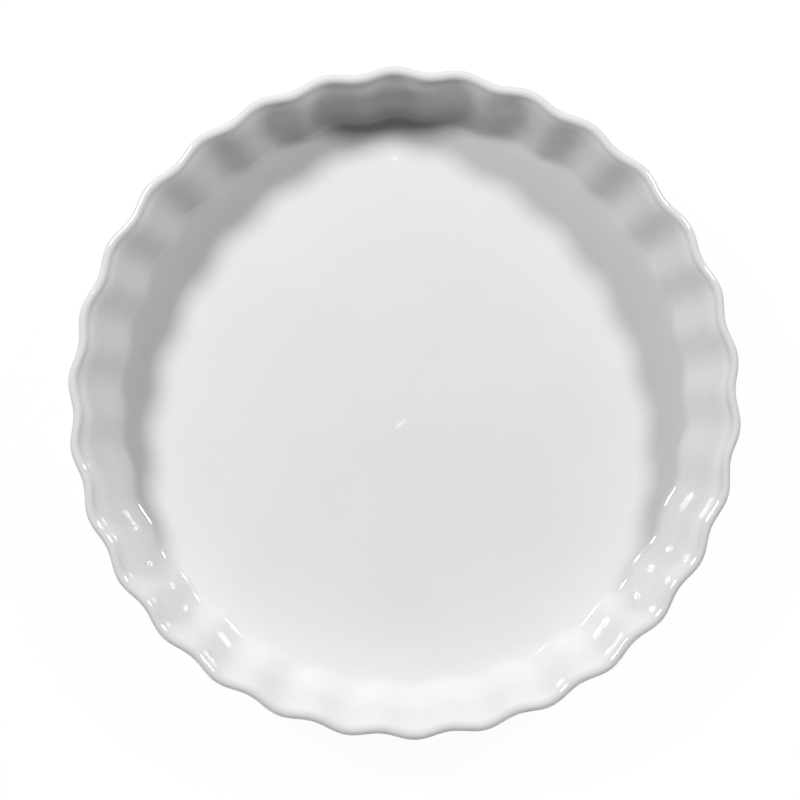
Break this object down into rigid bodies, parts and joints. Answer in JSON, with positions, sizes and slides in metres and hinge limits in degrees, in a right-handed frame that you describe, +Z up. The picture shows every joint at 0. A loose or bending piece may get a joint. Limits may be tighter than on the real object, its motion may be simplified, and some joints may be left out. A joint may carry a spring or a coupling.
{
  "type": "round baking dish",
  "caption": "Round shallow baking dish in glazed white porcelain, with a fluted wall that flares at its rounded lip, a flat floor and a low foot ring underneath.",
  "frame": {"origin": "centre of the circle that the foot ring rests on, at the surface that the dish stands on", "axes": "+Z up along the dish's own axis; +X through the crest of one flute"},
  "size_m": [0.2824, 0.2808, 0.04],
  "materials": {
    "glazed_porcelain": "clear gloss glaze over white porcelain, unglazed on the foot ring"
  },
  "bodies": {
    "root": {"fluted_baking_dish": "glazed_porcelain"}
  },
  "joints": []
}
